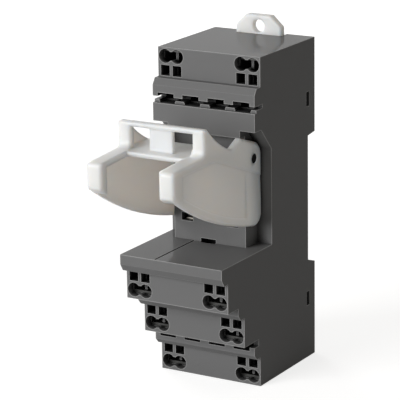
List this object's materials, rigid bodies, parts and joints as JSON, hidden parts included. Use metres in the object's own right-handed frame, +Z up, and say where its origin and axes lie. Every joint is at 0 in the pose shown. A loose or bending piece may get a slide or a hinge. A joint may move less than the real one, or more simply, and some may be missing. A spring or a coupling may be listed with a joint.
{
  "type": "relay socket",
  "caption": "Rail-mounted plug-in relay socket with stepped push-in wire terminals, a hinged relay release lever and sliding mounting hooks.",
  "frame": {"origin": "middle of the foot that the socket stands on, midway between the back plane and the lowest terminal face", "axes": "+X across the socket to the right seen from the front, -Y forwards to the terminals and the lever, +Z up to the upper terminals"},
  "size_m": [0.031, 0.0699, 0.0952],
  "materials": {
    "housing_plastic": "dark grey moulded plastic, glossy on its upward faces",
    "cover_plastic": "dark grey moulded plastic",
    "lever_plastic": "milky white, slightly translucent moulded plastic",
    "hook_plastic": "milky white moulded plastic",
    "busbar_metal": "tin-plated brass strip",
    "contact_metal": "sprung brass strip",
    "spring_steel": "bright spring steel"
  },
  "bodies": {
    "socket": {"housing": "housing_plastic", "rear_cover": "cover_plastic", "busbar_upper_left": "busbar_metal", "busbar_upper_right": "busbar_metal", "busbar_first_left": "busbar_metal", "busbar_first_right": "busbar_metal", "busbar_second_left": "busbar_metal", "busbar_second_right": "busbar_metal", "busbar_third_left": "busbar_metal", "busbar_third_right": "busbar_metal", "contact_clip_upper_left": "contact_metal", "contact_clip_upper_right": "contact_metal", "contact_clip_first_left": "contact_metal", "contact_clip_first_right": "contact_metal", "contact_clip_second_left": "contact_metal", "contact_clip_second_right": "contact_metal", "contact_clip_third_left": "contact_metal", "contact_clip_third_right": "contact_metal", "clamp_spring_upper_left_inner": "spring_steel", "clamp_spring_upper_left_outer": "spring_steel", "clamp_spring_upper_right_inner": "spring_steel", "clamp_spring_upper_right_outer": "spring_steel", "clamp_spring_first_left_inner": "spring_steel", "clamp_spring_first_left_outer": "spring_steel", "clamp_spring_first_right_inner": "spring_steel", "clamp_spring_first_right_outer": "spring_steel", "clamp_spring_second_left_inner": "spring_steel", "clamp_spring_second_left_outer": "spring_steel", "clamp_spring_second_right_inner": "spring_steel", "clamp_spring_second_right_outer": "spring_steel", "clamp_spring_third_left_inner": "spring_steel", "clamp_spring_third_left_outer": "spring_steel", "clamp_spring_third_right_inner": "spring_steel", "clamp_spring_third_right_outer": "spring_steel"},
    "lever": {"release_lever": "lever_plastic"},
    "upper_hook": {"upper_mounting_hook": "hook_plastic"},
    "lower_hook": {"lower_mounting_hook": "hook_plastic"}
  },
  "joints": [
    {"name": "lever_hinge", "type": "hinge", "parent": "socket", "child": "lever", "pos_m": [0, -0.01365, 0.06245], "axis": [-1, 0, 0], "range_deg": [0, 15]},
    {"name": "upper_hook_slide", "type": "slide", "parent": "socket", "child": "upper_hook", "axis": [0, 0, -1], "range_m": [0, 0.004]},
    {"name": "lower_hook_slide", "type": "slide", "parent": "socket", "child": "lower_hook", "axis": [0, 0, 1], "range_m": [0, 0.003]}
  ]
}
